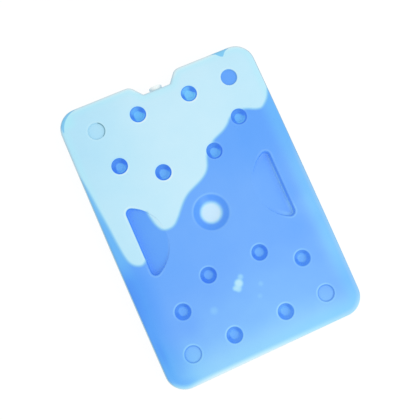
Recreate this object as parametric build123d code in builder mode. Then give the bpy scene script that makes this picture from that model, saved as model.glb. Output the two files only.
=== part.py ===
from build123d import *
import os
from math import atan2, cos, degrees, radians, sin, tan

# Eutectic cold plate: a hollow blow-moulded shell, the blue salt solution sealed inside it
# with the pocket of air that floats on top, and the stopper that closes the filler hole.
# Millimetres. The plate lies on its back. X runs across it, Y along it towards the filler
# notch and Z up through it. The origin is the middle of the underside.

# Whole plate
plate_width = 260.0
plate_length = 365.0
plate_thickness = 25.0
side_bow = 1.0  # how far the middle of each long side stands out from its ends
corner_radius = 25.0
bevel_width = 22.0  # border where each face falls away towards its edge
bevel_drop = 2.0
edge_round = 5.0
shell_wall = 1.8

# Notch in the top side, where the filler hole is
notch_floor_width = 37.0
notch_depth = 16.5
notch_flank_angle = 51.0  # degrees, from the top side
notch_shoulder_radius = 12.0
notch_corner_radius = 2.0

# Conical dimples in each quarter of the front face: across from the middle of the plate, and
# along from its end side
dimple_places = ((34.0, 114.5), (79.5, 87.0), (34.0, 36.7))
dimple_rim_radius = 10.0
dimple_floor_radius = 4.7
dimple_depth = 7.0
dimple_rim_round = 0.8

# Shallow round recesses in the four corners of the front face, placed in the same way
corner_recess_place = (88.4, 36.7)
corner_recess_rim_radius = 10.5
corner_recess_floor_radius = 9.7
corner_recess_depth = 1.8
corner_recess_rim_round = 0.5

# Cone in the middle of each face. The two meet in one fused web half way through.
centre_rim_radius = 22.0
centre_floor_radius = 12.0
centre_web_thickness = 3.0
centre_rim_round = 1.5

# Finger grips in the front face: a circle cut off by a straight steep wall, whose floor
# climbs from the foot of that wall to the face
grip_wall_place = 96.0
grip_circle_place = 107.0
grip_circle_radius = 47.4
grip_depth = 7.0
grip_tip_radius = 6.5

# Filler hole in the notch floor, on the parting line, and the neck moulded inside it
filler_hole_radius = 6.0
neck_wall = 1.8
neck_length = 8.0  # from the outside of the notch floor

# Stopper, welded into the filler hole
stopper_clearance = 0.1  # round the shank
stopper_shank_length = 9.0
stopper_base_radius = 7.2
stopper_end_radius = 8.6
stopper_height = 6.0
stopper_cup_wall = 1.6
stopper_cup_depth = 4.0

# Filling
fill_clearance = 0.2  # from the shell's inside
air_depth = 2.0  # under the top of the filling
# Shore line of the air pocket, across and along from the middle of the plate: from the left
# side to the left grip, and from that grip to the right side
left_shore = (
    (-127.0, 113.0), (-123.7, 58.0), (-122.0, 29.0), (-119.0, -5.0), (-112.0, -20.5),
    (-102.0, -26.5), (-94.0, -21.0),
)
right_shore = (
    (-72.8, 32.0), (-70.5, 20.0), (-67.0, 9.5), (-56.0, 1.2), (-44.0, 6.5), (-35.0, 17.5),
    (-23.3, 29.0), (-7.3, 37.0), (7.3, 43.7), (17.5, 54.0), (22.5, 66.0), (35.0, 78.5),
    (60.0, 91.0), (78.5, 103.0), (88.0, 102.5), (109.0, 95.5), (122.0, 103.0), (129.0, 117.0),
)

# Spare length of the cutting shapes past what they cut
spare = 5.0

# Worked out from the sizes above
parting_height = plate_thickness / 2
bevel_slope = bevel_drop / bevel_width
notch_floor_place = plate_length / 2 - notch_depth
centre_depth = parting_height - centre_web_thickness / 2
grip_slope = atan2(grip_depth, grip_wall_place - grip_circle_place + grip_circle_radius)
front = Plane.XY.offset(plate_thickness)
filler_axis = Axis((0, 0, parting_height), (0, 1, 0))


def in_quarters(place):
    """The same place in each quarter of the plate."""
    across, from_end = place
    along = plate_length / 2 - from_end
    return [(across, along), (-across, along), (-across, -along), (across, -along)]


def notched_outline(inset):
    """Outline of the plate, moved inwards by inset."""
    flank = radians(notch_flank_angle)
    end_x = plate_width / 2 - side_bow - inset
    end_y = plate_length / 2 - inset
    pull_x = end_x + 2 * side_bow  # control point that gives the side its bow
    floor_x = notch_floor_width / 2 + inset * tan(flank / 2)
    floor_y = notch_floor_place - inset
    mouth_y = plate_length / 2 + spare
    mouth_x = floor_x + (mouth_y - floor_y) / tan(flank)
    with BuildSketch() as outline:
        with BuildLine():
            Line((-end_x, -end_y), (end_x, -end_y))
            Bezier((end_x, -end_y), (pull_x, 0), (end_x, end_y))
            Line((end_x, end_y), (-end_x, end_y))
            Bezier((-end_x, end_y), (-pull_x, 0), (-end_x, -end_y))
        make_face()
        fillet(outline.vertices(), radius=corner_radius - inset)
        with BuildLine():
            Polyline(
                (-floor_x, floor_y), (floor_x, floor_y), (mouth_x, mouth_y), (-mouth_x, mouth_y), close=True
            )
        make_face(mode=Mode.SUBTRACT)
        shoulders = outline.vertices().filter_by_position(Axis.X, -mouth_x, mouth_x).group_by(Axis.Y)[-1]
        fillet(shoulders, radius=notch_shoulder_radius - inset)
        floor_ends = outline.vertices().filter_by_position(Axis.Y, floor_y - 1, floor_y + 1)
        fillet(floor_ends, radius=notch_corner_radius + inset)
    return outline.sketch


def frustum(rim_radius, floor_radius, depth, inset):
    """A conical recess in the front face, and its copy deeper inside by inset."""
    slant = atan2(rim_radius - floor_radius, depth)
    growth = inset * (1 - sin(slant)) / cos(slant)
    with BuildPart() as cone:
        with BuildSketch(front.offset(-inset)):
            Circle(rim_radius + growth)
        with BuildSketch(front.offset(-inset - depth)):
            Circle(floor_radius + growth)
        loft()
    return cone.part


def grip_hollow(inset):
    """The right-hand finger grip, and its copy deeper inside by inset."""
    wall_x = grip_wall_place + inset
    floor_plane = Plane(
        origin=(grip_wall_place, 0, plate_thickness - grip_depth - inset),
        x_dir=(0, 1, 0),
        z_dir=(sin(grip_slope), 0, cos(grip_slope)),
    )
    with BuildPart() as hollow:
        with BuildSketch(front.offset(-inset)) as mouth:
            with Locations((grip_circle_place, 0)):
                Circle(grip_circle_radius + inset)
            with Locations((wall_x, 0)):
                Rectangle(
                    plate_width, plate_length, align=(Align.MAX, Align.CENTER), mode=Mode.INTERSECT
                )
            fillet(mouth.vertices(), radius=grip_tip_radius + inset)
        extrude(amount=-grip_depth - spare)
        split(bisect_by=floor_plane, keep=Keep.TOP)
    return hollow.part


def plate_form(inset):
    """The whole plate with its recesses, with every surface moved inwards by inset."""
    outline = notched_outline(inset)
    crown_drop = bevel_slope * (bevel_width + spare)
    dimple = frustum(dimple_rim_radius, dimple_floor_radius, dimple_depth, inset)
    corner_recess = frustum(
        corner_recess_rim_radius, corner_recess_floor_radius, corner_recess_depth, inset
    )
    centre_cone = frustum(centre_rim_radius, centre_floor_radius, centre_depth, inset)
    grip = grip_hollow(inset)
    with BuildPart() as form:
        # Upper half, with the border of the face falling away to the rounded edge
        with BuildSketch(Plane.XY.offset(parting_height)):
            RectangleRounded(
                plate_width + 2 * spare, plate_length + 2 * spare, corner_radius + spare
            )
        extrude(amount=parting_height - inset - crown_drop)
        crown_seat = form.faces().sort_by(Axis.Z)[-1]
        extrude(crown_seat, amount=crown_drop, taper=degrees(atan2(1, bevel_slope)))
        with BuildSketch(Plane.XY):
            add(outline)
        extrude(amount=plate_thickness + spare, mode=Mode.INTERSECT)
        side_walls = form.faces().filter_by(lambda face: abs(face.normal_at().Z) < 0.01)
        outer_edges = side_walls.edges().filter_by_position(
            Axis.Z, plate_thickness - inset - crown_drop, plate_thickness
        )
        fillet(outer_edges, radius=edge_round - inset)

        # Lower half
        mirror(about=Plane.XY.offset(parting_height))
        add(centre_cone.mirror(Plane.XY.offset(parting_height)), mode=Mode.SUBTRACT)

        # Recesses of the front face
        add(centre_cone, mode=Mode.SUBTRACT)
        add(grip, mode=Mode.SUBTRACT)
        add(grip.mirror(Plane.YZ), mode=Mode.SUBTRACT)
        for place in dimple_places:
            with Locations(*in_quarters(place)):
                add(dimple, mode=Mode.SUBTRACT)
        with Locations(*in_quarters(corner_recess_place)):
            add(corner_recess, mode=Mode.SUBTRACT)
    return form.part


def round_rims(plate):
    """The whole plate with the rims of its recesses rounded."""
    with BuildPart() as rounded:
        add(plate)
        rims = (
            (dimple_rim_radius, dimple_rim_round),
            (corner_recess_rim_radius, corner_recess_rim_round),
            (centre_rim_radius, centre_rim_round),
        )
        for rim_radius, rim_round in rims:
            circles = rounded.edges().filter_by(GeomType.CIRCLE)
            fillet(circles.filter_by(lambda edge: abs(edge.radius - rim_radius) < 0.01), radius=rim_round)
    return rounded.part


os.makedirs("parts", exist_ok=True)

outer_form = round_rims(plate_form(0))
cavity_form = plate_form(shell_wall)
fill_form = plate_form(shell_wall + fill_clearance)

# Shell: the hollow moulding, with its filler hole and the neck inside it
notch_face = Plane(origin=(0, notch_floor_place, parting_height), x_dir=(1, 0, 0), z_dir=(0, 1, 0))
with BuildPart() as shell:
    add(outer_form)
    add(cavity_form, mode=Mode.SUBTRACT)
    with BuildSketch(notch_face):
        Circle(filler_hole_radius + neck_wall)
    extrude(amount=-neck_length)
    with BuildSketch(notch_face):
        Circle(filler_hole_radius)
    extrude(amount=-neck_length, mode=Mode.SUBTRACT)
shell.part.label = "shell"
export_step(shell.part, "parts/shell.step")

# Filling: the salt solution, level under the air pocket
neck_room = filler_hole_radius + neck_wall + fill_clearance
neck_reach = max(neck_length, stopper_shank_length) + fill_clearance
with BuildPart() as eutectic_fill:
    add(fill_form)
    with BuildSketch(notch_face):
        Circle(neck_room)
    extrude(amount=-neck_reach, mode=Mode.SUBTRACT)
    with BuildSketch(front):
        with BuildLine():
            left_line = Spline(*left_shore)
            right_line = Spline(*right_shore)
            Line(left_line @ 1, right_line @ 0)
            Polyline(
                right_line @ 1,
                (plate_width / 2 + spare, (right_line @ 1).Y),
                (plate_width / 2 + spare, plate_length / 2 + spare),
                (-plate_width / 2 - spare, plate_length / 2 + spare),
                (-plate_width / 2 - spare, (left_line @ 0).Y),
                left_line @ 0,
            )
        make_face()
    extrude(amount=-shell_wall - fill_clearance - air_depth, mode=Mode.SUBTRACT)
eutectic_fill.part.label = "eutectic_fill"
export_step(eutectic_fill.part, "parts/eutectic_fill.step")

# Stopper: a shank in the filler hole and a flared head with a hollow end
shank_radius = filler_hole_radius - stopper_clearance
cup_radius = stopper_end_radius - stopper_cup_wall
with BuildPart() as filler_stopper:
    with BuildSketch(Plane.XY.offset(parting_height)):
        with BuildLine():
            Polyline(
                (0, notch_floor_place - stopper_shank_length),
                (shank_radius, notch_floor_place - stopper_shank_length),
                (shank_radius, notch_floor_place),
                (stopper_base_radius, notch_floor_place),
                (stopper_end_radius, notch_floor_place + stopper_height),
                (cup_radius, notch_floor_place + stopper_height),
                (cup_radius, notch_floor_place + stopper_height - stopper_cup_depth),
                (0, notch_floor_place + stopper_height - stopper_cup_depth),
                close=True,
            )
        make_face()
    revolve(axis=filler_axis)
filler_stopper.part.label = "filler_stopper"
export_step(filler_stopper.part, "parts/filler_stopper.step")
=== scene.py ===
import math

import bpy
import numpy as np
from mathutils import Matrix, Vector
from mathutils.geometry import delaunay_2d_cdt


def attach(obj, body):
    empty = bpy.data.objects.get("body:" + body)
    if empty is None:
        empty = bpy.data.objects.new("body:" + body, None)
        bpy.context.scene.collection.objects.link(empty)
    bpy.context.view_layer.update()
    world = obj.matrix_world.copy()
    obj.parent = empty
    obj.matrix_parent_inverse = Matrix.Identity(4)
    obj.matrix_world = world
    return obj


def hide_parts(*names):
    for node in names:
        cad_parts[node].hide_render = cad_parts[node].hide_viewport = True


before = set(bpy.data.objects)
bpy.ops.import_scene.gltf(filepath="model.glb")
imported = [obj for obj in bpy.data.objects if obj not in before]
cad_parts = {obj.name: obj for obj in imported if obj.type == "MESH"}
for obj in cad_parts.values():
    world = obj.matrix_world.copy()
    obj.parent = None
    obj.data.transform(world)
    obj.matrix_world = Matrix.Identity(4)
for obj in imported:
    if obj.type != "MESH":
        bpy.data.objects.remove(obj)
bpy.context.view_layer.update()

# The plate lies on its back on a white floor. Sizes are in millimetres, as in the CAD model,
# and become metres when a mesh is made.
METRES = 0.001

# Whole plate
half_width = 130.0
half_length = 182.5
thickness = 25.0
side_bow = 1.0
corner_radius = 25.0
bevel_width = 22.0
bevel_drop = 2.0
edge_round = 5.0
parting_height = thickness / 2

# Notch in the top side
notch_half_floor = 17.6
notch_floor_place = 167.4
notch_flank_angle = math.radians(51.0)
notch_shoulder_radius = 12.0
notch_corner_radius = 2.0

# Recesses of the front face. A round one's shape is its rim radius, its floor radius and its
# depth, and then how softly the rim and the foot of the wall are rounded.
dimple_places = ((34.0, 68.0), (79.5, 95.5), (34.0, 145.8))
dimple_rim = 10.0
dimple_shape = (dimple_rim, 4.7, 7.0, 0.8, 1.4)
corner_recess_place = (88.4, 145.8)
corner_recess_shape = (10.5, 9.7, 1.8, 0.5, 0.6)
cone_shape = (22.0, 12.0, 11.0, 1.2, 2.2)
grip_wall_place = 96.0
grip_circle_place = 107.0
grip_circle_radius = 47.4
grip_tip_radius = 6.5
grip_depth = 7.0
grip_wall_slope = 3.4  # millimetres down for each millimetre in
grip_foot_softness = 0.7

# Stopper in the filler hole, turned about a line along the plate
stopper_back, stopper_shoulder, stopper_end = 157.04, 166.0, 171.96
stopper_shank, stopper_base, stopper_rim, stopper_cup = 5.9, 7.2, 8.57, 7.0
stopper_cup_floor = 168.0

# Surface
outline_step = 2.4
front_step = 2.3
back_step = 4.5
arc_share = 0.35  # longest step round a corner, as a share of its radius
skin = 0.04  # how far the faces stand inside the CAD model's box
seam_height = 0.3  # of the thin ridge along the parting line
wave_height = 0.10  # of the slow waves that a blown wall has
edge_reach = 40.0  # furthest distance from the outline that is stored on the mesh
near_reach = 12.0  # the same from a grip's rim, and from the shore in widths of its soft edge
far_away = 99.0  # distance from a recess that is stored where none is near

# Camera: where it stands over the plate, and which way its picture's right, up and back point
camera_place = (-94.41, -44.89, 806.15)
picture_right = (0.910957, -0.403747, 0.084531)
picture_up = (0.394954, 0.912830, 0.103700)
picture_back = (-0.119031, -0.061080, 0.991010)
camera_lens = 55.714

# Floor, world and lamp, in metres and watts
floor_reach = 4.0
floor_gap = 0.0001  # under the plate
floor_bounce_grey = 0.9
floor_shadow_grey = 0.12
floor_glow = 0.91
world_strength = 0.86
lamp_place = (0.75, -0.75, 1.0)
lamp_size = 0.9
lamp_energy = 4.0


# Shapes in plan


def unit(vector):
    return vector / np.linalg.norm(vector)


def circle_points(middle, radius, angles):
    return np.array(middle) + radius * np.stack([np.cos(angles), np.sin(angles)], 1)


def rounded_corner(before, corner, after, radius, step):
    """Points along the arc that rounds the corner of a polygon."""
    corner = np.array(corner, float)
    towards_before = unit(np.array(before, float) - corner)
    towards_after = unit(np.array(after, float) - corner)
    half_angle = math.acos(float(towards_before @ towards_after)) / 2
    centre = corner + unit(towards_before + towards_after) * radius / math.sin(half_angle)
    reach = radius / math.tan(half_angle)
    start = unit(corner + towards_before * reach - centre)
    end = unit(corner + towards_after * reach - centre)
    turn = math.atan2(start[0] * end[1] - start[1] * end[0], float(start @ end))
    count = max(4, int(abs(turn) * radius / step))
    first = math.atan2(start[1], start[0])
    angles = first + turn * np.linspace(0, 1, count + 1)
    return circle_points(centre, radius, angles)


def joined(arcs, step):
    """The arcs in a row, with points along the straight stretches between them."""
    line = [arcs[0]]
    for before, after in zip(arcs, arcs[1:]):
        start, end = before[-1], after[0]
        pieces = max(1, round(float(np.linalg.norm(end - start)) / step))
        shares = np.arange(1, pieces)[:, None] / pieces
        line += [start + (end - start) * shares, after]
    return np.concatenate(line)


def rounded_loop(corners, radii, step):
    """A closed loop of points round a polygon whose corners are rounded."""
    arcs = []
    for k, radius in enumerate(radii):
        after = corners[(k + 1) % len(corners)]
        arcs.append(rounded_corner(corners[k - 1], corners[k], after, radius, min(step, arc_share * radius)))
    return joined(arcs + [arcs[0][:1]], step)[:-1]


def rounded_path(corners, radii, step):
    """An open line of points whose inner corners are rounded."""
    arcs = [
        rounded_corner(*corners[k:k + 3], radius, arc_share * radius)
        for k, radius in enumerate(radii)
    ]
    first, last = np.array(corners[:1], float), np.array(corners[-1:], float)
    return joined([first] + arcs + [last], step)


def plate_outline():
    """Outline of the plate, anticlockwise, with the notch in its top side and its bowed sides."""
    end_x = half_width - side_bow
    mouth_x = notch_half_floor + (half_length - notch_floor_place) / math.tan(notch_flank_angle)
    right = [
        (end_x, -half_length, corner_radius),
        (end_x, half_length, corner_radius),
        (mouth_x, half_length, notch_shoulder_radius),
        (notch_half_floor, notch_floor_place, notch_corner_radius),
    ]
    left = [(-x, y, radius) for x, y, radius in reversed(right)]
    corners = right + left
    loop = rounded_loop([(x, y) for x, y, _ in corners], [radius for _, _, radius in corners], outline_step)
    bow = 1 + side_bow / end_x * (1 - (loop[:, 1] / half_length) ** 2)
    return np.stack([loop[:, 0] * bow, loop[:, 1]], 1)


def inward_normals(loop):
    """Unit vectors that point into an anticlockwise loop."""
    along = np.roll(loop, -1, 0) - np.roll(loop, 1, 0)
    across = np.stack([-along[:, 1], along[:, 0]], 1)
    return across / np.linalg.norm(across, axis=1)[:, None]


def distance_to_line(points, line, closed=False):
    """How far each point lies from a line of points."""
    starts = line if closed else line[:-1]
    ends = np.roll(line, -1, 0) if closed else line[1:]
    spans = ends - starts
    lengths = np.maximum((spans ** 2).sum(1), 1e-12)
    found = np.empty(len(points))
    batch = 2000
    for first in range(0, len(points), batch):
        part = points[first:first + batch]
        to_point = part[:, None, :] - starts[None]
        share = np.clip((to_point * spans[None]).sum(2) / lengths, 0, 1)
        gap = to_point - share[..., None] * spans[None]
        found[first:first + batch] = np.sqrt((gap ** 2).sum(2).min(1))
    return found


def is_inside(points, loop):
    """Whether each point lies inside a closed loop."""
    found = np.zeros(len(points), bool)
    ends = np.roll(loop, -1, 0)
    for (ax, ay), (bx, by) in zip(loop, ends):
        if ay == by:
            continue
        crosses = (ay > points[:, 1]) != (by > points[:, 1])
        place = ax + (points[:, 1] - ay) * (bx - ax) / (by - ay)
        found ^= crosses & (points[:, 0] < place)
    return found


def depth_inside(points, loop):
    """Distance of each point from a closed loop, and less than nothing outside it."""
    distance = distance_to_line(points, loop, closed=True)
    return np.where(is_inside(points, loop), distance, -distance)


def in_quarters(*places):
    """Each place in every quarter of the plate."""
    found = []
    for across, along in places:
        found += [(across, along), (-across, along), (-across, -along), (across, -along)]
    return found


def grip_loop():
    """Outline of the right-hand finger grip, anticlockwise."""
    tip_y = math.sqrt(grip_circle_radius ** 2 - (grip_circle_place - grip_wall_place) ** 2)
    half_sweep = math.atan2(tip_y, grip_circle_place - grip_wall_place)
    angles = math.pi + np.linspace(-half_sweep, half_sweep, 48)
    arc = circle_points((grip_circle_place, 0.0), grip_circle_radius, angles)
    # The two tips are rounded by circles that touch the wall and the arc from inside
    tip_x = grip_wall_place - grip_tip_radius
    reach = grip_circle_radius - grip_tip_radius
    tip_centre_y = math.sqrt(reach ** 2 - (grip_circle_place - tip_x) ** 2)
    touch_angle = math.atan2(tip_centre_y, tip_x - grip_circle_place)
    kept = np.abs(arc[:, 1]) < grip_circle_radius * math.sin(touch_angle)
    tip_angles = np.linspace(0, touch_angle, 14)
    upper = circle_points((tip_x, tip_centre_y), grip_tip_radius, tip_angles)
    lower = upper[::-1] * (1, -1)
    wall_y = np.arange(-tip_centre_y, tip_centre_y, 1.5)[1:]
    wall = np.stack([np.full(len(wall_y), grip_wall_place), wall_y], 1)
    return np.concatenate([upper, arc[kept], lower, wall])


# Shore line of the air pocket: from the left side to the left grip, and from that grip to the
# right side. Between the two it follows the grip's rim.
left_shore = (
    (-131.0, 110.0), (-127.6, 99.0), (-124.8, 80.0), (-122.8, 58.2), (-121.4, 43.7), (-120.2, 29.1),
    (-119.1, 14.6), (-117.7, 0.0), (-116.6, -7.4), (-114.8, -14.2), (-111.8, -19.4), (-107.8, -22.8),
    (-103.0, -24.6), (-99.2, -23.8), (-96.0, -21.0),
)
right_shore = (
    (-71.0, 32.6), (-70.4, 26.2), (-69.2, 20.4), (-68.0, 15.0), (-66.2, 10.3), (-63.8, 6.2),
    (-60.4, 3.6), (-56.0, 2.6), (-50.9, 3.0), (-46.4, 5.0), (-43.3, 7.7), (-38.8, 12.1),
    (-34.1, 17.4), (-28.5, 23.5), (-22.9, 28.7), (-16.0, 33.3), (-7.3, 37.1), (0.0, 40.0),
    (7.3, 43.7), (13.1, 48.0), (17.5, 53.8), (20.4, 61.1), (22.6, 66.2), (28.0, 74.0),
    (34.9, 78.3), (39.3, 81.5), (46.6, 84.4), (53.8, 87.3), (59.7, 91.0), (64.0, 94.6),
    (68.4, 99.0), (79.6, 104.0), (87.3, 102.6), (94.6, 100.4), (101.9, 96.8), (109.2, 95.3),
    (114.2, 97.6), (119.6, 102.3), (123.2, 107.0), (125.4, 111.5), (131.0, 122.0),
)
rim_softness, shore_softness = 0.5, 3.3  # width of the soft edge at the grip's rim, and elsewhere
# Liquid caught in the air pocket: a sliver in the top left corner, outside a circle, and a drop
# at the top side
sliver_centre = (-96.2, 152.4)
sliver_radius = 29.0
drop_corners = (
    (72.0, 190.0), (79.5, 181.4), (85.0, 179.2), (87.2, 176.6), (90.0, 174.0), (92.6, 173.0),
    (95.2, 176.4), (97.8, 178.8), (103.0, 180.8), (108.0, 190.0),
)
drop_softness = 1.2  # width of the drop's soft edge
liquid_level = 20.3  # height of the liquid under the air pocket
light_side = (-0.36, 0.93)  # way in plan on which the recesses' rims shine in the liquid
# From a dimple's middle to the middle of its floor's painted light, over and under the plate's middle
upper_glow_shift = (0.5, -1.2)
lower_glow_shift = (0.6, 0.3)


def smooth_line(points, step):
    """A smooth curve through the points, as points about a step apart."""
    points = np.array(points, float)
    padded = np.concatenate([[2 * points[0] - points[1]], points, [2 * points[-1] - points[-2]]])
    curve = []
    for a, b, c, d in zip(padded, padded[1:], padded[2:], padded[3:]):
        pieces = max(1, round(float(np.linalg.norm(c - b)) / step))
        t = np.arange(pieces)[:, None] / pieces
        square_part = (2 * a - 5 * b + 4 * c - d) * t ** 2
        cube_part = (3 * b - a - 3 * c + d) * t ** 3
        curve.append(0.5 * (2 * b + (c - a) * t + square_part + cube_part))
    return np.concatenate(curve + [points[-1:]])


def shore_of_left_grip():
    """The stretch of the left grip's rim that bounds the air: up its wall and round its tip."""
    rim = grip * (-1, 1)
    lowest = np.argmin(np.abs(rim[:, 0] + grip_wall_place) + np.abs(rim[:, 1] - left_shore[-1][1]))
    rim = np.roll(rim, -lowest, 0)
    end = np.argmax((rim[:, 0] > right_shore[0][0]) & (rim[:, 1] < right_shore[0][1] + 2))
    return rim[:end]


def air_depth(points):
    """How far inside the air pocket each point lies, and less than nothing in the liquid.

    It is given in widths of the soft edge, which is 1 mm at the sliver.
    """
    left_line = smooth_line(left_shore, 2.0)
    right_line = smooth_line(right_shore, 2.0)
    rim_line = shore_of_left_grip()
    # Corners far outside the plate close the loop
    far_corners = [(200.0, 122.0), (200.0, 260.0), (-200.0, 260.0), (-200.0, 122.0)]
    pocket = np.concatenate([left_line, rim_line, right_line, far_corners])
    to_rim = distance_to_line(points, rim_line)
    to_shore = np.minimum(distance_to_line(points, left_line), distance_to_line(points, right_line))
    away_from_rim = smooth_step(to_rim / (to_rim + to_shore + 0.01), 0.1, 0.6)
    softness = rim_softness + (shore_softness - rim_softness) * away_from_rim
    distance = np.minimum(to_rim, to_shore) / softness
    depth = np.where(is_inside(points, pocket), distance, -distance)
    in_corner = (points[:, 0] < sliver_centre[0]) & (points[:, 1] > sliver_centre[1])
    to_sliver = sliver_radius - np.hypot(points[:, 0] - sliver_centre[0], points[:, 1] - sliver_centre[1])
    depth = np.where(in_corner, np.minimum(depth, to_sliver), depth)
    return np.minimum(depth, -depth_inside(points, np.array(drop_corners)) / drop_softness)


# Heights of the faces


def soft_rise(value, softness):
    """The value where it is above nothing, with its corner rounded."""
    return 0.5 * (value + np.sqrt(value * value + softness * softness))


def smooth_step(value, low, high):
    share = np.clip((value - low) / (high - low), 0, 1)
    return share * share * (3 - 2 * share)


def round_recess(radius, shape):
    """Depth of a conical recess at each distance from its middle."""
    rim, floor, depth, rim_rounding, foot_rounding = shape
    fall = depth * (rim - radius) / (rim - floor)
    return soft_rise(fall, rim_rounding) - soft_rise(fall - depth, foot_rounding)


def nearest_middle(points, middles):
    """Distance of each point from the nearest of some middles."""
    found = np.full(len(points), far_away)
    for x, y in middles:
        found = np.minimum(found, np.hypot(points[:, 0] - x, points[:, 1] - y))
    return found


def lean(points):
    """How far the way from the nearest recess's middle leans to the light, from -1 to 1."""
    middles = in_quarters(*dimple_places, corner_recess_place) + [(0.0, 0.0)]
    nearest = np.full(len(points), np.inf)
    found = np.zeros(len(points))
    for x, y in middles:
        across, along = points[:, 0] - x, points[:, 1] - y
        radius = np.hypot(across, along) + 0.01
        closer = radius < nearest
        nearest = np.where(closer, radius, nearest)
        found = np.where(closer, (across * light_side[0] + along * light_side[1]) / radius, found)
    return found


def bevel_height(edge_depth):
    """Height of the face at each distance inside the outline."""
    return thickness - skin - bevel_drop / bevel_width * soft_rise(bevel_width - edge_depth, 5.0)


def slow_waves(points, edge_depth):
    x, y = points[:, 0], points[:, 1]
    waves = np.sin(x / 23 + 0.6 * np.sin(y / 31)) + np.sin(y / 27 + 1.3 + 0.7 * np.sin(x / 37 + 0.4))
    return wave_height * (2 + waves) / 4 * smooth_step(edge_depth, 5, 20)


def grip_fall(points, grip_depth_in):
    """Depth of the finger grips at each point."""
    across = np.abs(points[:, 0]) - (grip_circle_place - grip_circle_radius)
    floor = grip_depth * np.clip(across / (grip_wall_place - grip_circle_place + grip_circle_radius), 0, 1.2)
    wall = soft_rise(grip_wall_slope * (grip_depth_in - 0.1), 0.8)
    lower = 0.5 * (floor + wall - np.sqrt((floor - wall) ** 2 + grip_foot_softness ** 2))
    return np.maximum(lower, 0)


def measures(points):
    """Distances that the heights and the colours are worked out from, for each point in plan."""
    mirrored = np.stack([np.abs(points[:, 0]), points[:, 1]], 1)
    dimples = in_quarters(*dimple_places)
    glow_shift = np.where(points[:, 1:] > 0, upper_glow_shift, lower_glow_shift)
    return {
        "edge_depth": np.clip(depth_inside(points, outline), 0, edge_reach),
        "dimple_radius": nearest_middle(points, dimples),
        "floor_radius": nearest_middle(points - glow_shift, dimples),
        "recess_radius": nearest_middle(points, in_quarters(corner_recess_place)),
        "cone_radius": np.hypot(points[:, 0], points[:, 1]),
        "grip_depth": np.clip(depth_inside(mirrored, grip), -near_reach, near_reach),
        "air_depth": np.clip(air_depth(points), -near_reach, near_reach),
        "lean": lean(points),
    }


def front_height(points, found):
    height = bevel_height(found["edge_depth"])
    height -= slow_waves(points, found["edge_depth"])
    height -= round_recess(found["dimple_radius"], dimple_shape)
    height -= round_recess(found["recess_radius"], corner_recess_shape)
    height -= round_recess(found["cone_radius"], cone_shape)
    height -= grip_fall(points, found["grip_depth"])
    return height


def back_height(points, found):
    height = bevel_height(found["edge_depth"])
    height -= slow_waves(points[:, ::-1], found["edge_depth"])
    height -= round_recess(found["cone_radius"], cone_shape)
    return thickness - height


# The shell's mesh


def face_points(rim_loop, step, circles, lines):
    """Loops round the recesses and the rim, and the points of an even net between them."""
    fixed = [rim_loop]
    for (x, y), radii in circles:
        for radius in radii:
            count = max(6, round(2 * math.pi * radius / max(0.9, 0.14 * radius)))
            angles = 2 * math.pi * np.arange(count) / count
            fixed.append(circle_points((x, y), radius, angles))
    fixed += lines
    columns = np.arange(-half_width, half_width, step)
    rows = np.arange(-half_length, half_length, step * math.sqrt(3) / 2)
    net_x, net_y = np.meshgrid(columns, rows)
    net_x = net_x + (np.arange(len(rows)) % 2)[:, None] * step / 2
    net = np.stack([net_x.ravel(), net_y.ravel()], 1)
    keep = is_inside(net, rim_loop)
    keep &= distance_to_line(net, rim_loop, closed=True) > 0.6 * step
    for (x, y), radii in circles:
        keep &= np.hypot(net[:, 0] - x, net[:, 1] - y) > max(radii) + 0.45 * step
    for line in lines:
        keep &= distance_to_line(net, line, closed=True) > 0.45 * step
    return fixed, net[keep]


def filled_face(loops, net):
    """Points and triangles of a face inside the first loop. Every loop's stretches become edges."""
    points = np.concatenate(loops + [net])
    edges = []
    first = 0
    for loop in loops:
        count = len(loop)
        edges += [(first + k, first + (k + 1) % count) for k in range(count)]
        first += count
    made = delaunay_2d_cdt([Vector(p) for p in points], edges, [], 1, 1e-5)
    return np.array([tuple(p) for p in made[0]]), [tuple(f) for f in made[2]]


def front_circles():
    dimple_radii = (1.6, 3.2, 4.0, 4.6, 5.2, 6.0, 7.0, 8.0, 8.9, 9.5, 10.0, 10.5, 11.1, 11.9, 13.0)
    recess_radii = (2.4, 5.0, 7.2, 8.6, 9.2, 9.6, 9.9, 10.2, 10.5, 10.9, 11.5, 12.4, 13.6)
    cone_radii = (2.5, 5, 7.5, 9.5, 11, 12, 13, 14.2, 15.6, 17, 18.4, 19.8, 21, 21.7, 22.3, 23, 24, 25.4)
    circles = [(q, dimple_radii) for q in in_quarters(*dimple_places)]
    circles += [(q, recess_radii) for q in in_quarters(corner_recess_place)]
    return circles + [((0.0, 0.0), cone_radii)]


def front_lines():
    """Lines that follow the rim and the wall of each finger grip."""
    lines = []
    inward = inward_normals(grip)
    for inset in (-1.6, -0.8, -0.3, 0.1, 0.5, 0.9, 1.3, 1.7, 2.1, 2.6, 3.4):
        line = grip + inward * inset
        lines += [line, line * (-1, 1)]
    return lines


def rim_profile():
    """Distance inside the outline and height of each ring, from the parting line to the face."""
    arc_middle = float(bevel_height(np.array(edge_round))) - edge_round
    rings = [(0.0, parting_height), (0.06, parting_height + 0.25), (seam_height, parting_height + 0.7)]
    rings += [(seam_height, parting_height + 3.0)]
    for degrees in (0, 12, 24, 36, 48, 60, 70, 78, 84.8):
        turn = math.radians(degrees)
        inset = seam_height + (edge_round - seam_height) * (1 - math.cos(turn))
        rings.append((inset, arc_middle + edge_round * math.sin(turn)))
    return rings


def make_object(name, vertices, faces):
    mesh = bpy.data.meshes.new(name)
    mesh.from_pydata((vertices * METRES).tolist(), [], faces)
    mesh.validate()
    mesh.update()
    mesh.shade_smooth()
    made = bpy.data.objects.new(name, mesh)
    bpy.context.scene.collection.objects.link(made)
    return made


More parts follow.
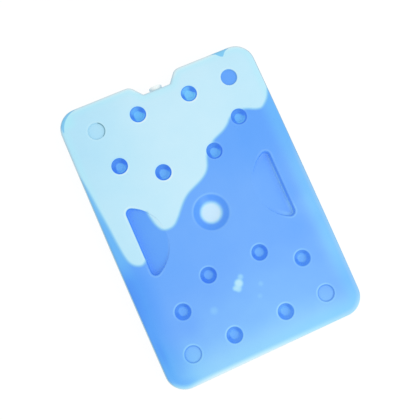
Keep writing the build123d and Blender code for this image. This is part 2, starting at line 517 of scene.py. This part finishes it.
def give_attribute(piece, name, values):
    attribute = piece.data.attributes.new(name, "FLOAT", "POINT")
    attribute.data.foreach_set("value", np.asarray(values, np.float32))


def ring_faces(starts, count):
    """Four-cornered faces between rings of points that begin at the starts."""
    faces = []
    for upper, lower in zip(starts, starts[1:]):
        for k in range(count):
            after = (k + 1) % count
            faces.append((upper + k, lower + k, lower + after, upper + after))
    return faces


def give_measures(piece, vertices, parts):
    """Stores the distances on the mesh's points, which are the front's, the sides' and the back's."""
    front, _, back = parts
    first_back = len(vertices) - len(back["lean"])
    recessed = np.zeros(len(vertices), bool)
    recessed[:len(front["lean"])] = front["dimple_radius"] < dimple_rim - 0.3
    for key in front:
        values = np.concatenate([part[key] for part in parts])
        if key == "air_depth":
            values = np.where(recessed, -6, np.minimum(values, 1.5 * (vertices[:, 2] - liquid_level)))
        if key in ("dimple_radius", "floor_radius", "recess_radius"):
            values[first_back:] = far_away
        if key == "grip_depth":
            values[first_back:] = -near_reach
        give_attribute(piece, key, values)


def shell_piece():
    """The shell's outside as one closed skin: front face, rounded edge, sides and back face."""
    inward = inward_normals(outline)
    profile = rim_profile()
    rings = profile[:0:-1] + [(inset, thickness - height) for inset, height in profile]
    count = len(outline)
    loops = [outline + inward * inset for inset, _ in rings]
    rim_loop = loops[0]

    front_plan, front_faces = filled_face(*face_points(rim_loop, front_step, front_circles(), front_lines()))
    cone_radii = (3.0, 6.0, 9.0, 11, 12, 13, 14.5, 16.5, 18.5, 20.4, 21.5, 22.3, 23.4, 25.2)
    back_plan, back_faces = filled_face(*face_points(rim_loop, back_step, [((0.0, 0.0), cone_radii)], []))
    front_found = measures(front_plan)
    back_found = measures(back_plan)
    front = np.column_stack([front_plan, front_height(front_plan, front_found)])
    back = np.column_stack([back_plan, back_height(back_plan, back_found)])
    front[:count, 2] = rings[0][1]
    back[:count, 2] = rings[-1][1]

    # The first and last rings are the rims of the two faces, so only those between are added
    side = [np.column_stack([loop, np.full(count, height)]) for loop, (_, height) in zip(loops, rings)]
    middle = np.concatenate(side[1:-1])
    first_back = len(front) + len(middle)
    starts = [0] + [len(front) + k * count for k in range(len(rings) - 2)] + [first_back]
    faces = front_faces + ring_faces(starts, count)
    faces += [(c + first_back, b + first_back, a + first_back) for a, b, c in back_faces]
    vertices = np.concatenate([front, middle, back])
    piece = make_object("shell_skin", vertices, faces)

    give_measures(piece, vertices, [front_found, measures(middle[:, :2]), back_found])
    return piece


def stopper_piece():
    """The stopper: a shank in the hole, and a flared end with a cup in it."""
    corners = [
        (0.0, stopper_cup_floor), (stopper_cup, stopper_cup_floor), (stopper_cup, stopper_end),
        (stopper_rim, stopper_end), (stopper_base, stopper_shoulder), (stopper_shank, stopper_shoulder),
        (stopper_shank, stopper_back), (0.0, stopper_back),
    ]
    path = rounded_path(corners, (0.7, 0.6, 0.6, 0.3, 0.2, 0.5), 0.8)
    count = 72
    turn = 2 * math.pi * np.arange(count) / count
    rings = [
        np.column_stack([radius * np.cos(turn), np.full(count, y), parting_height + radius * np.sin(turn)])
        for radius, y in path[1:-1]
    ]
    ends = [[(0.0, y, parting_height)] for y in (path[0, 1], path[-1, 1])]
    vertices = np.concatenate([ends[0]] + rings + [ends[1]])
    last = len(vertices) - 1
    faces = []
    for k in range(count):
        after = (k + 1) % count
        faces.append((0, 1 + k, 1 + after))
        for first in range(1, last - count, count):
            faces.append((first + k, first + count + k, first + count + after, first + after))
        faces.append((last - count + k, last, last - count + after))
    return make_object("stopper_turned", vertices, faces)


# Colours, as red, green and blue from 0 to 255


def colour(red, green, blue):
    """A colour of the picture as Blender's linear values."""
    parts = [part / 255 for part in (red, green, blue)]
    linear = [part / 12.92 if part <= 0.04045 else ((part + 0.055) / 1.055) ** 2.4 for part in parts]
    return (*linear, 1.0)


# The plastic over the salt solution runs from deep blue to nearly white. A tone is the red
# part of that colour, and each tone goes with its green and blue.
plastic_tones = (
    (50, 114, 240), (60, 124, 246), (72, 138, 250), (85, 158, 253), (100, 168, 255), (113, 175, 255),
    (122, 184, 255), (132, 195, 255), (142, 204, 254), (152, 211, 254), (165, 220, 253), (178, 229, 253),
    (190, 235, 254), (203, 240, 255), (235, 252, 255),
)
liquid_base = 112.0
air_base = 200.0
flooded_tone = 101.0
caught_tone = 130.0
bubble_tone = 184.0
cone_wall_tone = 98.0
cone_disc_tone = 216.0
rim_tone = 222.0

# Places where the liquid is lighter or darker: middle, radius, softness and change of tone
tone_spots = (
    ((112.0, -168.0), 22.0, 20.0, -7.0),
    ((108.0, -75.0), 16.0, 14.0, 3.0),
    ((-84.0, -113.0), 15.0, 13.0, -8.0),
    ((108.0, -40.0), 14.0, 12.0, 8.0),
)
# Bubbles under the face: middle, radius, softness and how pale each is
bubbles = (
    ((0.4, -85.4), 3.0, 2.2, 0.5),
    ((-4.7, -91.6), 4.8, 2.4, 1.0),
    ((-10.8, -95.4), 2.8, 2.0, 0.8),
    ((-7.6, -97.6), 3.4, 2.2, 0.75),
    ((-45.1, -109.1), 4.0, 3.0, 0.20),
    ((19.6, -102.8), 2.6, 2.0, 0.18),
    ((12.8, -115.6), 2.6, 2.0, 0.14),
)
# Colours that some places are drawn towards
tints = {
    "left side": (108, 190, 250),
    "lower left": (108, 196, 250),
    "near the edge": (112, 208, 250),
    "caught liquid": (132, 208, 246),
    "shore": (128, 194, 236),
    "dimple floor": (114, 204, 255),
    "palest dimple": (140, 222, 255),
    # painted shade on the dimple walls
    "steep wall": (74, 132, 216),
    "ring in liquid": (88, 152, 222),
    "ring in air": (124, 172, 190),
    # painted shadow of a corner recess's wall
    "recess wall shadow": (98, 148, 160),
    "pale edge": (176, 242, 255),
    "right edge": (172, 208, 236),
    "outline": (136, 170, 186),
}


class Nodes:
    """Makes the nodes of one material, each in a short call."""

    def __init__(self, name):
        self.material = bpy.data.materials.new(name)
        self.material.use_nodes = True
        self.tree = self.material.node_tree
        self.shader = self.tree.nodes["Principled BSDF"]

    def put(self, socket, value):
        if isinstance(value, bpy.types.NodeSocket):
            self.tree.links.new(value, socket)
        else:
            socket.default_value = value

    def node(self, kind, inputs, **settings):
        """A node with its settings, and with values or sockets at its inputs."""
        made = self.tree.nodes.new(kind)
        for key, value in settings.items():
            setattr(made, key, value)
        for key, value in inputs.items():
            self.put(made.inputs[key], value)
        return made

    def attribute(self, name):
        return self.node("ShaderNodeAttribute", {}, attribute_name=name).outputs["Fac"]

    def coordinates(self):
        return self.node("ShaderNodeTexCoord", {}).outputs["Object"]

    def place(self):
        """Object coordinates as three sockets, in metres."""
        return self.node("ShaderNodeSeparateXYZ", {0: self.coordinates()}).outputs

    def math(self, operation, first, second=0.0):
        return self.node("ShaderNodeMath", {0: first, 1: second}, operation=operation).outputs[0]

    def add(self, *values):
        total = values[0]
        for value in values[1:]:
            total = self.math("ADD", total, value)
        return total

    def times(self, *values):
        total = values[0]
        for value in values[1:]:
            total = self.math("MULTIPLY", total, value)
        return total

    def larger(self, first, second):
        return self.math("MAXIMUM", first, second)

    def size(self, value):
        """The value without its sign."""
        return self.math("ABSOLUTE", value)

    def opposite(self, share):
        """0 where the share is 1, and 1 where it is 0."""
        return self.math("SUBTRACT", 1.0, share)

    def step(self, value, low, high, start=0.0, end=1.0):
        """Runs smoothly from start at low to end at high."""
        inputs = {"Value": value, "From Min": low, "From Max": high, "To Min": start, "To Max": end}
        made = self.node("ShaderNodeMapRange", inputs, interpolation_type="SMOOTHSTEP")
        return made.outputs["Result"]

    def band(self, value, low, middle, high, height=1.0):
        """A hump: nothing at low, its height at the middle, nothing again at high."""
        return self.times(self.step(value, low, middle), self.step(value, high, middle, 0.0, height))

    def blend(self, share, first, second):
        """First where share is 0, second where it is 1."""
        return self.node("ShaderNodeMix", {0: share, 2: first, 3: second}, data_type="FLOAT").outputs[0]

    def mix(self, share, first, second):
        """The same for two colours."""
        return self.node("ShaderNodeMix", {0: share, 6: first, 7: second}, data_type="RGBA").outputs[2]

    def tint(self, shade, share, name):
        """Draws a colour towards a named tint."""
        return self.mix(share, shade, colour(*tints[name]))

    def ramp(self, value, stops):
        made = self.node("ShaderNodeValToRGB", {0: value})
        elements = made.color_ramp.elements
        while len(elements) < len(stops):
            elements.new(0.5)
        for element, (place, shade) in zip(elements, stops):
            element.position = place
            element.color = shade
        return made.outputs[0]

    def noise(self, scale, detail=3.0):
        inputs = {"Vector": self.coordinates(), "Scale": scale, "Detail": detail}
        return self.node("ShaderNodeTexNoise", inputs).outputs["Fac"]

    def clouds(self, scale, detail=3.0, low=0.0, high=1.0):
        """Noise that is spread over the whole way from low to high."""
        return self.step(self.noise(scale, detail), 0.3, 0.7, low, high)

    def finished(self, shade, grain, roughness, bump_grain, strength, height):
        """The material with its colour, a roughness between two values, and fine bumps."""
        inputs = {"Strength": strength, "Distance": height, "Height": self.noise(*bump_grain)}
        bump = self.node("ShaderNodeBump", inputs)
        self.put(self.shader.inputs["Base Color"], shade)
        self.put(self.shader.inputs["Roughness"], self.clouds(grain, 3.0, *roughness))
        self.put(self.shader.inputs["Normal"], bump.outputs["Normal"])
        return self.material


def spot(nodes, at, middle, radius, softness):
    """A round soft spot: 1 in its middle, 0 outside."""
    across = nodes.math("SUBTRACT", at["x"], middle[0] * METRES)
    along = nodes.math("SUBTRACT", at["y"], middle[1] * METRES)
    square = nodes.add(nodes.times(across, across), nodes.times(along, along))
    distance = nodes.math("SQRT", square)
    return nodes.step(distance, (radius + softness) * METRES, (radius - softness) * METRES)


# The shell's pattern. Its functions read places and shares by name from one table, "at". Places
# along x, y and z are in metres there, and stored distances are in millimetres.


def surface_places(nodes):
    """The sockets that every part of the pattern is worked out from."""
    x, y, z = nodes.place()
    at = {"x": x, "y": y, "z": z}
    names = (
        "edge_depth", "dimple_radius", "floor_radius", "recess_radius", "cone_radius", "grip_depth",
        "air_depth", "lean",
    )
    for name in names:
        at[name] = nodes.attribute(name)
    at["lit_side"] = nodes.larger(at["lean"], 0.0)
    at["far_side"] = nodes.larger(nodes.times(at["lean"], -1.0), 0.0)
    at["upper"] = nodes.step(y, -0.010, 0.050)
    at["left"] = nodes.step(x, -0.001, -0.002)
    at["top"] = nodes.step(y, 0.090, 0.091)
    at["over_level"] = nodes.step(z, 0.0178, 0.0190)
    return at


def air_and_liquid(nodes, at):
    """Adds the shares of air and liquid, and of the liquid that lies within the air pocket."""
    y = at["y"]
    at["in_recess"] = nodes.step(at["recess_radius"], 10.5, 9.6)
    # The upper right corner recess reaches down to the liquid, though air lies round it
    at["flooded"] = nodes.times(at["in_recess"], nodes.step(at["x"], 0.050, 0.051), at["top"])
    not_flooded = nodes.opposite(at["flooded"])
    pocket = nodes.times(nodes.step(at["air_depth"], -1.0, 0.7), not_flooded)
    # The sliver ends at a fixed place, and a pale line runs on between it and the plate's edge
    trapped = nodes.times(nodes.step(y, 0.118, 0.126), not_flooded)
    pale_edge = nodes.times(nodes.step(y, 0.172, 0.160), nodes.step(at["edge_depth"], 4.4, 2.8))
    pale_edge = nodes.larger(pale_edge, nodes.step(y, 0.163, 0.158))
    at["air"] = nodes.larger(pocket, nodes.times(trapped, pale_edge, at["over_level"]))
    at["in_liquid"] = nodes.opposite(at["air"])
    at["caught"] = nodes.times(nodes.step(y, 0.112, 0.160), not_flooded, at["in_liquid"])


def side_tones(nodes, at):
    """Changes of the liquid's tone along the plate's left and right sides: painted shade towards the left
    edge and painted light along the right side.
    """
    x, y = at["x"], at["y"]
    # Painted shade: the liquid darkens towards the left edge, most of all low down
    left_rim = nodes.times(nodes.step(x, -0.113, -0.125, 0.0, -6.0), nodes.step(y, 0.000, -0.040))
    left = nodes.times(nodes.step(x, -0.088, -0.122, 0.0, -22.0), nodes.step(y, -0.005, -0.045))
    left = nodes.times(left, nodes.step(y, -0.100, -0.150, 1.0, 1.45))
    left_upper = nodes.times(nodes.step(x, -0.110, -0.120), nodes.step(y, 0.020, 0.066, 0.0, 33.0))
    # Painted shade near the lower left edge
    left_lower = nodes.band(at["edge_depth"], 1.5, 8.0, 17.0, -13.0)
    left_lower = nodes.times(left_lower, nodes.step(y, -0.090, -0.140), nodes.step(x, -0.085, -0.108))
    # Painted light along the right side
    right_fade = nodes.times(nodes.step(y, 0.070, -0.030, 0.4, 1.0), nodes.step(y, -0.140, -0.090))
    right = nodes.times(nodes.step(x, 0.098, 0.122, 0.0, 16.0), right_fade)
    return left_rim, left, left_upper, left_lower, right


def liquid_tone(nodes, at):
    """Tone of the plastic over the liquid, lighter to the right and towards the bottom side, with painted
    light along the bottom edge and painted shade under the lamp.
    """
    x, y = at["x"], at["y"]
    slope = nodes.times(nodes.step(y, -0.150, -0.090, 20.0, 60.0), nodes.step(y, 0.060, 0.010, 0.1, 1.0))
    across = nodes.times(nodes.math("MINIMUM", x, 0.060), slope)
    near_shore = nodes.step(y, 0.000, 0.075, 0.0, -8.0)
    lower = nodes.step(y, -0.050, -0.140, 0.0, 14.0)
    lowest = nodes.step(y, -0.131, -0.190, 0.0, 31.0)
    # Painted shade: darker towards the right, under the lamp, where it lights the plate more
    painted_shade_under_lamp = nodes.step(x, 0.010, 0.105, 0.0, -7.0)
    # Painted light: a pale band along the bottom edge
    band = nodes.times(nodes.step(y, -0.160, -0.176), nodes.step(at["edge_depth"], 8.5, 0.5, 0.0, 74.0))
    band = nodes.times(band, nodes.step(x, 0.110, -0.040, 0.5, 1.1))
    spots = [nodes.times(spot(nodes, at, *place), change) for *place, change in tone_spots]
    wide = nodes.add(liquid_base, across, near_shore, lower, lowest, painted_shade_under_lamp, band)
    return nodes.add(wide, *side_tones(nodes, at), *spots)


def air_tone(nodes, at):
    """Tone of the plastic over the air pocket, bluer towards the top left corner."""
    x, y = at["x"], at["y"]
    corner = nodes.times(nodes.step(x, 0.000, -0.120, 0.0, -8.5), nodes.step(y, 0.040, 0.130))
    left = nodes.step(x, -0.010, -0.110, 0.0, -8.0)
    right = nodes.step(x, 0.040, 0.110, 0.0, -5.0)
    band = nodes.times(nodes.step(y, 0.168, 0.176), nodes.step(at["edge_depth"], 7.5, 0.0, 0.0, 34.0))
    return nodes.add(air_base, corner, left, right, band)


def area_tones(nodes, at):
    """Tone of the liquid and the air, with what lies caught in either."""
    tone = nodes.blend(at["air"], liquid_tone(nodes, at), air_tone(nodes, at))
    tone = nodes.blend(at["flooded"], tone, flooded_tone)
    in_left_recess = nodes.times(at["in_recess"], at["left"])
    tone = nodes.add(tone, nodes.times(in_left_recess, at["air"], -7.0))
    in_left_grip = nodes.times(nodes.step(at["grip_depth"], 0.2, 1.6), at["left"])
    tone = nodes.add(tone, nodes.times(in_left_grip, at["in_liquid"], -8.0))
    tone = nodes.blend(at["caught"], tone, caught_tone)
    for *place, paleness in bubbles:
        bubble = nodes.times(spot(nodes, at, *place), paleness, at["over_level"])
        tone = nodes.blend(bubble, tone, bubble_tone)
    return tone


def add_dimples(nodes, at, tone):
    """A light ring outside, partly a painted highlight; dark walls lightened by painted light on their lit
    and far sides; a light floor, painted where light falls; and a painted shade line on the rim's far side.
    """
    y, radius, upper = at["y"], at["dimple_radius"], at["upper"]
    outer = nodes.step(nodes.size(y), 0.105, 0.140)
    # The ring round the rim: pale thin wall and a painted highlight, stronger on the side towards the light
    # in the liquid; in the air, painted light on the far side and painted shade on the lit side
    ring_and_highlight_in_liquid = nodes.add(7.0, nodes.times(at["lit_side"], nodes.blend(outer, 16.0, 21.0)))
    ring_light_and_shade_in_air = nodes.add(2.0, nodes.times(at["far_side"], 24.0), nodes.times(at["lit_side"], -10.0))
    ring = nodes.times(nodes.band(radius, 9.9, 11.0, 12.9), nodes.blend(at["air"], ring_and_highlight_in_liquid, ring_light_and_shade_in_air))
    tone = nodes.add(tone, ring)

    right_side = nodes.step(at["x"], -0.020, 0.090, 0.0, 6.0)
    # The floor is lighter with painted light, where light falls on it
    floor = nodes.blend(upper, nodes.blend(outer, 116.0, 120.0), nodes.blend(outer, 114.0, 130.0))
    floor = nodes.add(floor, right_side)
    lower_end = nodes.step(y, -0.060, -0.150, 0.0, 13.0)
    upper_end = nodes.step(y, 0.100, 0.150, 0.0, 6.0)
    wall = nodes.add(nodes.blend(upper, 76.0, 74.0), lower_end, right_side, upper_end)
    both = nodes.blend(nodes.step(at["floor_radius"], 4.4, 6.8), floor, wall)
    both = nodes.add(both, nodes.step(radius, 6.8, 9.4, 0.0, -5.0))

    # Painted light on the walls, on the side towards the light and on the far side
    lit = nodes.blend(outer, 20.0, nodes.blend(upper, 22.0, 30.0))
    lit = nodes.times(nodes.step(at["lean"], 0.15, 1.0), lit, nodes.step(radius, 9.8, 8.8))
    far = nodes.blend(upper, nodes.blend(outer, 6.0, 13.0), nodes.blend(outer, 38.0, 50.0))
    far = nodes.times(nodes.step(at["lean"], -0.10, -0.90), far, nodes.step(radius, 9.2, 7.8))
    painted_light_on_walls = nodes.times(nodes.add(lit, far), nodes.step(at["floor_radius"], 4.0, 6.4))
    # Painted shade: a dark line round the rim on the side away from the light, in the upper dimples
    line = nodes.times(nodes.band(radius, 8.2, 9.4, 10.3), at["far_side"], upper, -12.0)
    inside = nodes.step(radius, 10.3, 9.6)
    return nodes.blend(inside, tone, nodes.add(both, painted_light_on_walls, line)), inside


def add_corner_recesses(nodes, at, tone):
    """A thin dark ring, darker still on the side towards the light, which is painted shade, with a light one
    round it that in the liquid is partly a painted highlight, paler on that side.
    """
    radius = at["recess_radius"]
    # The light ring round the rim is partly a painted highlight, paler on the side towards the light in the
    # liquid
    halo = nodes.blend(at["air"], nodes.add(8.0, nodes.times(at["lit_side"], 18.0)), 6.0)
    tone = nodes.add(tone, nodes.times(nodes.band(radius, 10.4, 11.5, 13.3), halo))
    # The dark ring is darker on the side towards the light: painted shade
    dark = nodes.blend(at["top"], nodes.step(at["lean"], -0.6, 0.2, -13.0, -22.0), -1.0)
    return nodes.add(tone, nodes.times(nodes.band(radius, 8.2, 9.9, 11.0), dark))


def add_cone(nodes, at, tone):
    """A dark ring round a pale disc, where front and back are fused, with painted light on the ring's side
    towards the light and a light ring outside that is partly a painted highlight.
    """
    radius = at["cone_radius"]
    # The light ring outside is partly a painted highlight, stronger on the side towards the light
    halo = nodes.add(4.0, nodes.times(at["lit_side"], 14.0))
    tone = nodes.add(tone, nodes.times(nodes.band(radius, 21.6, 23.2, 25.4), halo))
    # Painted light on the side of the ring towards the light
    painted_light_patch = nodes.times(spot(nodes, at, (-2.0, 18.0), 5.0, 4.5), 18.0)
    ring = nodes.add(cone_wall_tone, nodes.step(radius, 17.0, 21.0, 0.0, -6.0), painted_light_patch)
    inside = nodes.blend(spot(nodes, at, (0.7, 0.3), 13.2, 3.6), ring, cone_disc_tone)
    return nodes.blend(nodes.step(radius, 22.4, 20.9), tone, inside)


def add_grips(nodes, at, tone):
    """A dark line down each grip's wall and a light one outside it, with painted light that fills the shade
    behind each wall, at the right wall's foot and along the left grip's arc.
    """
    y, depth, at_left, in_liquid = at["y"], at["grip_depth"], at["left"], at["in_liquid"]
    across = nodes.size(at["x"])
    at_wall = nodes.step(across, 0.070, 0.090)
    at_tip = nodes.step(nodes.size(y), 0.024, 0.036, 5.0, 16.0)
    thin = nodes.times(nodes.band(depth, -0.4, 0.5, 2.0), at_wall, in_liquid, nodes.blend(at_left, 0.4, 1.0))
    # Painted light behind the wall, where its shade falls, most of all behind the right grip's wall
    painted_light_behind_wall = nodes.times(nodes.band(depth, 0.8, 3.4, 8.0), at_wall, in_liquid)
    painted_light_behind_wall = nodes.times(painted_light_behind_wall, nodes.blend(at_left, nodes.step(y, -0.012, -0.034, 12.0, 22.0), 4.0))
    glow = nodes.times(nodes.band(depth, -3.4, -1.4, -0.2), at_tip, at_wall)
    # Painted light at the foot of the right grip's wall, where the wall's shadow falls
    painted_light_at_foot = nodes.times(nodes.band(depth, 0.9, 2.1, 3.6), at_wall, nodes.blend(at_left, 13.0, 0.0))
    # Painted light along the left grip's arc, over the shade of its rim
    at_arc = nodes.times(nodes.step(across, 0.090, 0.084), at_left)
    arc_painted_light_in_liquid = nodes.times(nodes.step(y, 0.000, -0.020), in_liquid, 9.0)
    arc_painted_light_in_air = nodes.times(at["air"], 6.0)
    arc = nodes.times(nodes.band(depth, -0.4, 0.9, 3.0), at_arc, nodes.add(arc_painted_light_in_liquid, arc_painted_light_in_air))
    return nodes.add(tone, nodes.times(thin, -6.0), painted_light_behind_wall, glow, painted_light_at_foot, arc), thin


def add_rim(nodes, at, tone):
    """The solid plastic at the seam and round the edge is paler, most of all on the left."""
    from_seam = nodes.size(nodes.math("SUBTRACT", at["z"], parting_height * METRES))
    on_seam = nodes.step(from_seam, 0.0010, 0.0004)
    on_edge = nodes.step(from_seam, 0.0053, 0.0060)
    share = nodes.times(nodes.step(at["edge_depth"], 2.1, 0.8), nodes.larger(on_seam, on_edge))
    share = nodes.times(share, nodes.step(at["x"], 0.100, -0.060, 0.25, 0.95))
    return nodes.blend(share, tone, rim_tone), share


def tint_liquid(nodes, at, shade):
    """Where light comes through little liquid it turns towards cyan."""
    x, edge, no_rim, in_liquid = at["x"], at["edge_depth"], at["no_rim"], at["in_liquid"]
    strip = nodes.times(nodes.step(x, -0.112, -0.119), nodes.step(at["y"], -0.040, 0.000, 0.0, 0.6))
    shade = nodes.tint(shade, nodes.times(strip, in_liquid, no_rim), "left side")
    low_left = spot(nodes, at, (-116.0, -160.0), 30.0, 24.0)
    shade = nodes.tint(shade, nodes.times(low_left, 0.3, no_rim), "lower left")
    near_edge = nodes.times(nodes.step(edge, 26.0, 7.0), nodes.step(x, -0.110, 0.100, 0.11, 0.32))
    shade = nodes.tint(shade, nodes.times(near_edge, in_liquid, no_rim), "near the edge")
    outside_dimple = nodes.larger(nodes.math("SUBTRACT", 0.8, at["in_dimple"]), 0.0)
    shade = nodes.tint(shade, nodes.times(at["caught"], outside_dimple, no_rim), "caught liquid")
    shore = nodes.times(nodes.band(at["air"], 0.02, 0.25, 0.70, 0.4), nodes.opposite(at["in_dimple"]))
    return nodes.tint(shade, shore, "shore")


def tint_recesses(nodes, at, tone, shade):
    """Light floors turn towards cyan, steep walls are duller with painted shade, and the corner recesses
    have rings, the upper left one with a painted shadow arc.
    """
    radius, in_dimple = at["recess_radius"], at["in_dimple"]
    bright = nodes.times(in_dimple, nodes.step(tone, 90.0, 122.0))
    cyan_share = nodes.blend(at["upper"], 0.28, nodes.step(at["y"], 0.075, 0.140, 0.55, 0.85))
    shade = nodes.tint(shade, nodes.times(bright, cyan_share), "dimple floor")
    palest = nodes.times(spot(nodes, at, dimple_places[2], 14.0, 2.0), 0.5)
    shade = nodes.tint(shade, nodes.times(bright, palest), "palest dimple")
    # Painted shade: dimple walls are drawn towards a duller blue, most of all on the side towards the light
    dull = nodes.math("SUBTRACT", in_dimple, bright)
    dull = nodes.times(dull, nodes.step(at["lean"], -0.1, 0.4, 0.05, 0.36))
    dull = nodes.larger(dull, nodes.times(at["grip_line"], 0.35))
    shade = nodes.tint(shade, dull, "steep wall")
    ring = nodes.band(radius, 8.6, 9.8, 10.9)
    shade = nodes.tint(shade, nodes.times(ring, at["in_liquid"], 0.4), "ring in liquid")
    shade = nodes.tint(shade, nodes.times(ring, at["air"], 0.2), "ring in air")
    # Painted shadow: a dark arc where the upper left corner recess's wall shades it
    arc = nodes.times(nodes.band(radius, 9.2, 10.3, 11.2), nodes.step(at["x"], -0.0842, -0.0826))
    arc = nodes.times(arc, at["left"], at["top"], 0.9)
    return nodes.tint(shade, arc, "recess wall shadow")


def tint_edges(nodes, at, shade):
    """A pale line along the air pocket's edge and the right side, and a dull one on the outline."""
    x, y, edge = at["x"], at["y"], at["edge_depth"]
    light_edge = nodes.times(nodes.band(edge, 1.5, 4.5, 14.0, 0.3), at["air"])
    corner = nodes.times(spot(nodes, at, (-115.0, 168.0), 7.0, 6.0), at["air"], 0.5)
    shade = nodes.tint(shade, nodes.add(light_edge, corner), "pale edge")
    at_right = nodes.times(nodes.step(x, 0.060, 0.110), nodes.step(y, 0.050, 0.010))
    right_edge = nodes.times(nodes.band(edge, 0.5, 3.0, 8.0, 0.3), at_right)
    shade = nodes.tint(shade, right_edge, "right edge")
    dull = nodes.times(nodes.band(edge, -0.8, 0.6, 2.8, 0.45), nodes.step(at["z"], 0.014, 0.018))
    dull = nodes.times(dull, nodes.step(y, -0.174, -0.166, 0.3, 1.0))
    upper_right = nodes.times(nodes.step(x, 0.100, 0.122), nodes.step(y, -0.060, 0.040))
    dull = nodes.times(dull, nodes.blend(upper_right, 1.0, 1.9))
    return nodes.tint(shade, dull, "outline")


def shell_material():
    """Satin polyethylene, painted with what shows through the real shell."""
    nodes = Nodes("shell_plastic")
    at = surface_places(nodes)
    air_and_liquid(nodes, at)
    tone = area_tones(nodes, at)
    tone, at["in_dimple"] = add_dimples(nodes, at, tone)
    tone = add_corner_recesses(nodes, at, tone)
    tone = add_cone(nodes, at, tone)
    tone, at["grip_line"] = add_grips(nodes, at, tone)
    tone, rim = add_rim(nodes, at, tone)
    at["no_rim"] = nodes.opposite(rim)
    tone = nodes.add(tone, nodes.clouds(38.0, 2.0, -1.2, 1.2))
    stops = [(shade[0] / 255, colour(*shade)) for shade in plastic_tones]
    shade = nodes.ramp(nodes.math("DIVIDE", tone, 255.0), stops)
    shade = tint_liquid(nodes, at, shade)
    shade = tint_recesses(nodes, at, tone, shade)
    shade = tint_edges(nodes, at, shade)
    nodes.shader.inputs["IOR"].default_value = 1.5
    nodes.shader.inputs["Specular IOR Level"].default_value = 0.25
    return nodes.finished(
        shade, grain=60.0, roughness=(0.40, 0.50), bump_grain=(900.0, 3.0), strength=0.12, height=0.0002
    )


def liquid_material():
    """Blue salt solution, sealed inside the shell."""
    nodes = Nodes("salt_solution")
    shade = nodes.mix(nodes.clouds(14.0, 2.0), colour(96, 163, 250), colour(118, 180, 254))
    return nodes.finished(
        shade, grain=90.0, roughness=(0.08, 0.14), bump_grain=(25.0, 1.0), strength=0.1, height=0.001
    )


def stopper_material():
    """Natural polyethylene, nearly white, greener and darker towards its root."""
    nodes = Nodes("stopper_plastic")
    pale = nodes.mix(nodes.clouds(160.0), colour(244, 253, 252), colour(250, 255, 254))
    root = nodes.step(nodes.place()[1], 0.1690, 0.1665, 0.0, 0.7)
    shade = nodes.mix(root, pale, colour(214, 236, 234))
    return nodes.finished(
        shade, grain=220.0, roughness=(0.38, 0.5), bump_grain=(900.0, 3.0), strength=0.15, height=0.0002
    )


def give_material(piece, material):
    piece.data.materials.clear()
    piece.data.materials.append(material)


# Camera, floor and light


def place_camera():
    data = bpy.data.cameras.new("camera")
    data.lens = camera_lens
    data.sensor_width = 36.0
    data.clip_start = 0.01
    data.clip_end = 50.0
    camera = bpy.data.objects.new("camera", data)
    turn = Matrix((picture_right, picture_up, picture_back)).transposed().to_4x4()
    camera.matrix_world = Matrix.Translation(Vector(camera_place) * METRES) @ turn
    bpy.context.scene.collection.objects.link(camera)
    bpy.context.scene.camera = camera


def seen_directly(tree):
    """1 for what the camera sees, also in a mirror or through glass."""
    light_path = tree.nodes.new("ShaderNodeLightPath")
    total = light_path.outputs["Is Camera Ray"]
    for name in ("Is Glossy Ray", "Is Transmission Ray"):
        larger = tree.nodes.new("ShaderNodeMath")
        larger.operation = "MAXIMUM"
        tree.links.new(total, larger.inputs[0])
        tree.links.new(light_path.outputs[name], larger.inputs[1])
        total = larger.outputs[0]
    return total


def diffuse_grey(tree, grey):
    made = tree.nodes.new("ShaderNodeBsdfDiffuse")
    made.inputs["Color"].default_value = (grey, grey, grey, 1)
    return made.outputs[0]


def make_floor():
    """A white floor that keeps a faint shadow."""
    corners = [(-floor_reach, -floor_reach), (floor_reach, -floor_reach)]
    corners += [(-x, -y) for x, y in corners]
    mesh = bpy.data.meshes.new("floor")
    mesh.from_pydata([(x, y, -floor_gap) for x, y in corners], [], [(0, 1, 2, 3)])
    floor = bpy.data.objects.new("floor", mesh)
    bpy.context.scene.collection.objects.link(floor)
    material = bpy.data.materials.new("floor_white")
    material.use_nodes = True
    tree = material.node_tree
    tree.nodes.clear()
    glow = tree.nodes.new("ShaderNodeEmission")
    glow.inputs["Strength"].default_value = floor_glow
    both = tree.nodes.new("ShaderNodeAddShader")
    choice = tree.nodes.new("ShaderNodeMixShader")
    output = tree.nodes.new("ShaderNodeOutputMaterial")
    links = (
        (diffuse_grey(tree, floor_shadow_grey), both.inputs[0]),
        (glow.outputs[0], both.inputs[1]),
        (seen_directly(tree), choice.inputs[0]),
        (diffuse_grey(tree, floor_bounce_grey), choice.inputs[1]),
        (both.outputs[0], choice.inputs[2]),
        (choice.outputs[0], output.inputs[0]),
    )
    for source, target in links:
        tree.links.new(source, target)
    mesh.materials.append(material)


def make_world():
    """White all round, a little weaker as a light than as the camera sees it."""
    world = bpy.data.worlds.new("studio")
    bpy.context.scene.world = world
    world.use_nodes = True
    tree = world.node_tree
    background = tree.nodes["Background"]
    strength = tree.nodes.new("ShaderNodeMapRange")
    strength.inputs["To Min"].default_value = world_strength
    strength.inputs["To Max"].default_value = 1.0
    tree.links.new(seen_directly(tree), strength.inputs["Value"])
    tree.links.new(strength.outputs["Result"], background.inputs["Strength"])
    background.inputs["Color"].default_value = (1, 1, 1, 1)


def make_key_light():
    """A wide soft lamp over the bottom right corner."""
    data = bpy.data.lights.new("key", "AREA")
    data.shape = "DISK"
    data.size = lamp_size
    data.energy = lamp_energy
    lamp = bpy.data.objects.new("key", data)
    place = Vector(lamp_place)
    lamp.matrix_world = Matrix.Translation(place) @ place.to_track_quat("Z", "Y").to_matrix().to_4x4()
    bpy.context.scene.collection.objects.link(lamp)


place_camera()
outline = plate_outline()
grip = grip_loop()

shell = shell_piece()
give_material(shell, shell_material())
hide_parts("shell")
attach(shell, "root")
give_material(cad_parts["eutectic_fill"], liquid_material())
stopper = stopper_piece()
give_material(stopper, stopper_material())
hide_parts("filler_stopper")
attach(stopper, "root")

make_floor()
make_world()
make_key_light()
bpy.context.scene.view_settings.view_transform = "Standard"
